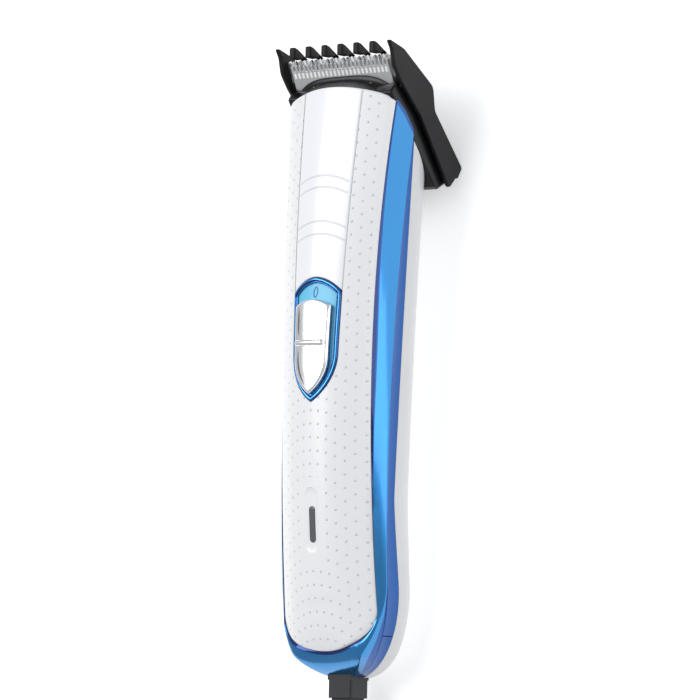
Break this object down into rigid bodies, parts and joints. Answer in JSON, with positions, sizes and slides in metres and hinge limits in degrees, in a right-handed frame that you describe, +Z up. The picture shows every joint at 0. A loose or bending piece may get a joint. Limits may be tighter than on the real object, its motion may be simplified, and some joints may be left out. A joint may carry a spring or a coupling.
{
  "type": "hair clipper",
  "caption": "Slim corded hair clipper with a dimpled white body, blue plated trim, slide switch, T-shaped blade and clip-on comb, lying on its back.",
  "frame": {"origin": "on the table under the middle of the clipper, without its cord and plug", "axes": "+Y towards the cutting head, +Z up out of the switch side, X across"},
  "size_m": [0.041, 0.3769, 0.037],
  "materials": {
    "white_shell": "gloss white, dimpled",
    "white_panel": "gloss white",
    "white_rear": "gloss white",
    "blue_chrome": "blue plated",
    "cyan_plate": "gloss cyan",
    "pearl_slider": "bright plated",
    "smoke_lens": "smoked",
    "head_black": "gloss black",
    "comb_black": "matt black",
    "blade_steel": "ground steel",
    "screw_steel": "plated steel",
    "motor_steel": "plated steel",
    "magnet_black": "sintered",
    "brass": "plain",
    "inner_black": "matt",
    "inner_white": "matt",
    "board_green": "solder mask",
    "led_clear": "clear",
    "capacitor_blue": "sleeved can",
    "cord_black": "soft black",
    "lead_brown": "insulation",
    "lead_red": "insulation",
    "tie_black": "strap",
    "plug_metal": "nickel plated"
  },
  "bodies": {
    "clipper": {"front_shell": "white_shell", "front_panel": "white_panel", "rear_shell": "white_rear", "switch_bezel": "blue_chrome", "switch_plate": "cyan_plate", "indicator_lens": "smoke_lens", "trim_frame": "blue_chrome", "end_cap": "blue_chrome", "side_trim_left": "blue_chrome", "side_trim_right": "blue_chrome", "housing_screws": "screw_steel", "blade_screws": "screw_steel", "fixed_blade": "blade_steel", "blade_spring": "screw_steel", "head_housing": "head_black", "motor_can": "motor_steel", "motor_end_cap": "inner_black", "motor_magnets": "magnet_black", "motor_terminals": "brass", "motor_cradle": "inner_white", "circuit_board": "board_green", "led": "led_clear", "capacitor": "capacitor_blue", "rectifier": "inner_black", "choke": "inner_black", "slide_switch": "motor_steel", "strain_relief": "cord_black", "cord_clamp": "inner_white", "mains_leads": "lead_brown", "motor_leads": "lead_red", "cord": "cord_black", "cord_hank": "cord_black", "cord_tail": "cord_black", "hank_tie": "tie_black", "plug_body": "cord_black", "plug_pins": "plug_metal"},
    "switch": {"switch_slider": "pearl_slider", "switch_knob": "inner_black"},
    "cutter": {"moving_blade": "blade_steel", "blade_driver": "inner_black"},
    "shaft": {"motor_shaft": "screw_steel", "eccentric": "inner_white", "motor_rotor": "magnet_black"},
    "comb": {"comb": "comb_black"}
  },
  "joints": [
    {"name": "switch_slide", "type": "slide", "parent": "clipper", "child": "switch", "axis": [0, 0.9989, 0.0476], "range_m": [0, 0.0035]},
    {"name": "blade_stroke", "type": "slide", "parent": "clipper", "child": "cutter", "axis": [1, 0, 0], "range_m": [-0.0012, 0.0012]},
    {"name": "shaft_spin", "type": "hinge", "parent": "clipper", "child": "shaft", "pos_m": [0, 0.04606, 0.0189], "axis": [0, 0.9968, 0.0805], "continuous": true},
    {"name": "comb_pull", "type": "slide", "parent": "clipper", "child": "comb", "axis": [0, 0.7283, -0.6852], "range_m": [0, 0.045]}
  ]
}
